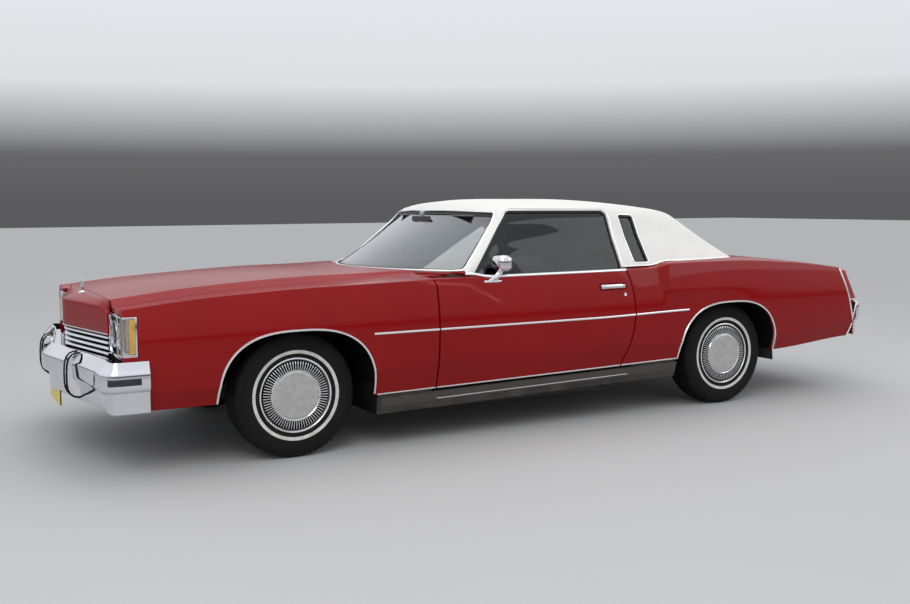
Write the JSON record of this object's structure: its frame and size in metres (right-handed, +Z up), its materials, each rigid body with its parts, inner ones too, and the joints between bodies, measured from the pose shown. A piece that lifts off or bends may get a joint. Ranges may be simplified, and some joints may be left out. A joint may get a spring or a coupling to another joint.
{
  "type": "two-door luxury coupe",
  "caption": "Full-size two-door hardtop coupe with a long hood, vinyl-covered roof, opera windows, opening doors, hood and trunk lid, and steered, rolling wheels.",
  "frame": {"origin": "on the ground, under the middle of the bounding box", "axes": "+X to the rear of the car, +Y to its right-hand side, +Z up; the tyres stand on z = 0"},
  "size_m": [5.7289, 2.03, 1.385],
  "materials": {
    "body_red": "deep red gloss paint",
    "vinyl_white": "grained cream-white vinyl roof covering",
    "glass_tinted": "tinted safety glass",
    "chrome": "bright chrome plate",
    "lens_red": "ribbed red lamp lens",
    "underbody_black": "black chassis paint",
    "cast_steel": "raw cast metal",
    "engine_blue": "painted cast iron",
    "interior_black": "dark vinyl trim",
    "tyre_rubber": "black rubber"
  },
  "bodies": {
    "body": {"roof": "vinyl_white", "windshield": "glass_tinted", "backlight": "glass_tinted", "quarter_window_left": "glass_tinted", "quarter_window_right": "glass_tinted", "fender_left": "body_red", "fender_right": "body_red", "quarter_left": "body_red", "quarter_right": "body_red", "rear_panel": "body_red", "header_panel": "body_red", "tail_lamp_left": "lens_red", "tail_lamp_right": "lens_red", "front_bumper": "chrome", "rear_bumper": "chrome", "grille": "chrome", "headlamp_left": "chrome", "headlamp_right": "chrome", "chassis_frame": "underbody_black", "firewall_cowl": "underbody_black", "floor_pan": "underbody_black", "fuel_tank": "underbody_black", "rear_axle": "cast_steel", "exhaust": "cast_steel", "engine_block": "engine_blue", "steering_wheel": "interior_black", "front_seat": "interior_black", "rear_seat": "interior_black"},
    "door_left": {"door_left": "body_red", "door_glass_left": "glass_tinted", "mirror_left": "chrome"},
    "door_right": {"door_right": "body_red", "door_glass_right": "glass_tinted"},
    "hood": {"hood": "body_red"},
    "trunk_lid": {"trunk_lid": "body_red"},
    "knuckle_left": {"knuckle_left": "cast_steel"},
    "knuckle_right": {"knuckle_right": "cast_steel"},
    "wheel_front_left": {"wheel_front_left": "chrome", "tyre_front_left": "tyre_rubber"},
    "wheel_front_right": {"wheel_front_right": "chrome", "tyre_front_right": "tyre_rubber"},
    "wheel_rear_left": {"wheel_rear_left": "chrome", "tyre_rear_left": "tyre_rubber"},
    "wheel_rear_right": {"wheel_rear_right": "chrome", "tyre_rear_right": "tyre_rubber"}
  },
  "joints": [
    {"name": "steer_left", "type": "hinge", "parent": "body", "child": "knuckle_left", "pos_m": [-1.7, -0.69, 0.345], "axis": [0, 0, 1], "range_deg": [-32, 32]},
    {"name": "spin_front_left", "type": "hinge", "parent": "knuckle_left", "child": "wheel_front_left", "pos_m": [-1.7, -0.808, 0.345], "axis": [0, 1, 0], "continuous": true},
    {"name": "spin_rear_left", "type": "hinge", "parent": "body", "child": "wheel_rear_left", "pos_m": [1.399, -0.808, 0.345], "axis": [0, 1, 0], "continuous": true},
    {"name": "open_door_left", "type": "hinge", "parent": "body", "child": "door_left", "pos_m": [-0.8415, -1.001, 0.65], "axis": [0, 0, -1], "range_deg": [0, 65]},
    {"name": "steer_right", "type": "hinge", "parent": "body", "child": "knuckle_right", "pos_m": [-1.7, 0.69, 0.345], "axis": [0, 0, 1], "range_deg": [-32, 32]},
    {"name": "spin_front_right", "type": "hinge", "parent": "knuckle_right", "child": "wheel_front_right", "pos_m": [-1.7, 0.808, 0.345], "axis": [0, 1, 0], "continuous": true},
    {"name": "spin_rear_right", "type": "hinge", "parent": "body", "child": "wheel_rear_right", "pos_m": [1.399, 0.808, 0.345], "axis": [0, 1, 0], "continuous": true},
    {"name": "open_door_right", "type": "hinge", "parent": "body", "child": "door_right", "pos_m": [-0.8415, 1.001, 0.65], "axis": [0, 0, 1], "range_deg": [0, 65]},
    {"name": "open_hood", "type": "hinge", "parent": "body", "child": "hood", "pos_m": [-0.728, 0, 0.957], "axis": [0, 1, 0], "range_deg": [0, 45]},
    {"name": "open_trunk", "type": "hinge", "parent": "body", "child": "trunk_lid", "pos_m": [1.53, 0, 1.022], "axis": [0, -1, 0], "range_deg": [0, 55]}
  ],
  "couplings": [
    {"joint": "steer_right", "follows": "steer_left", "ratio": 1}
  ]
}
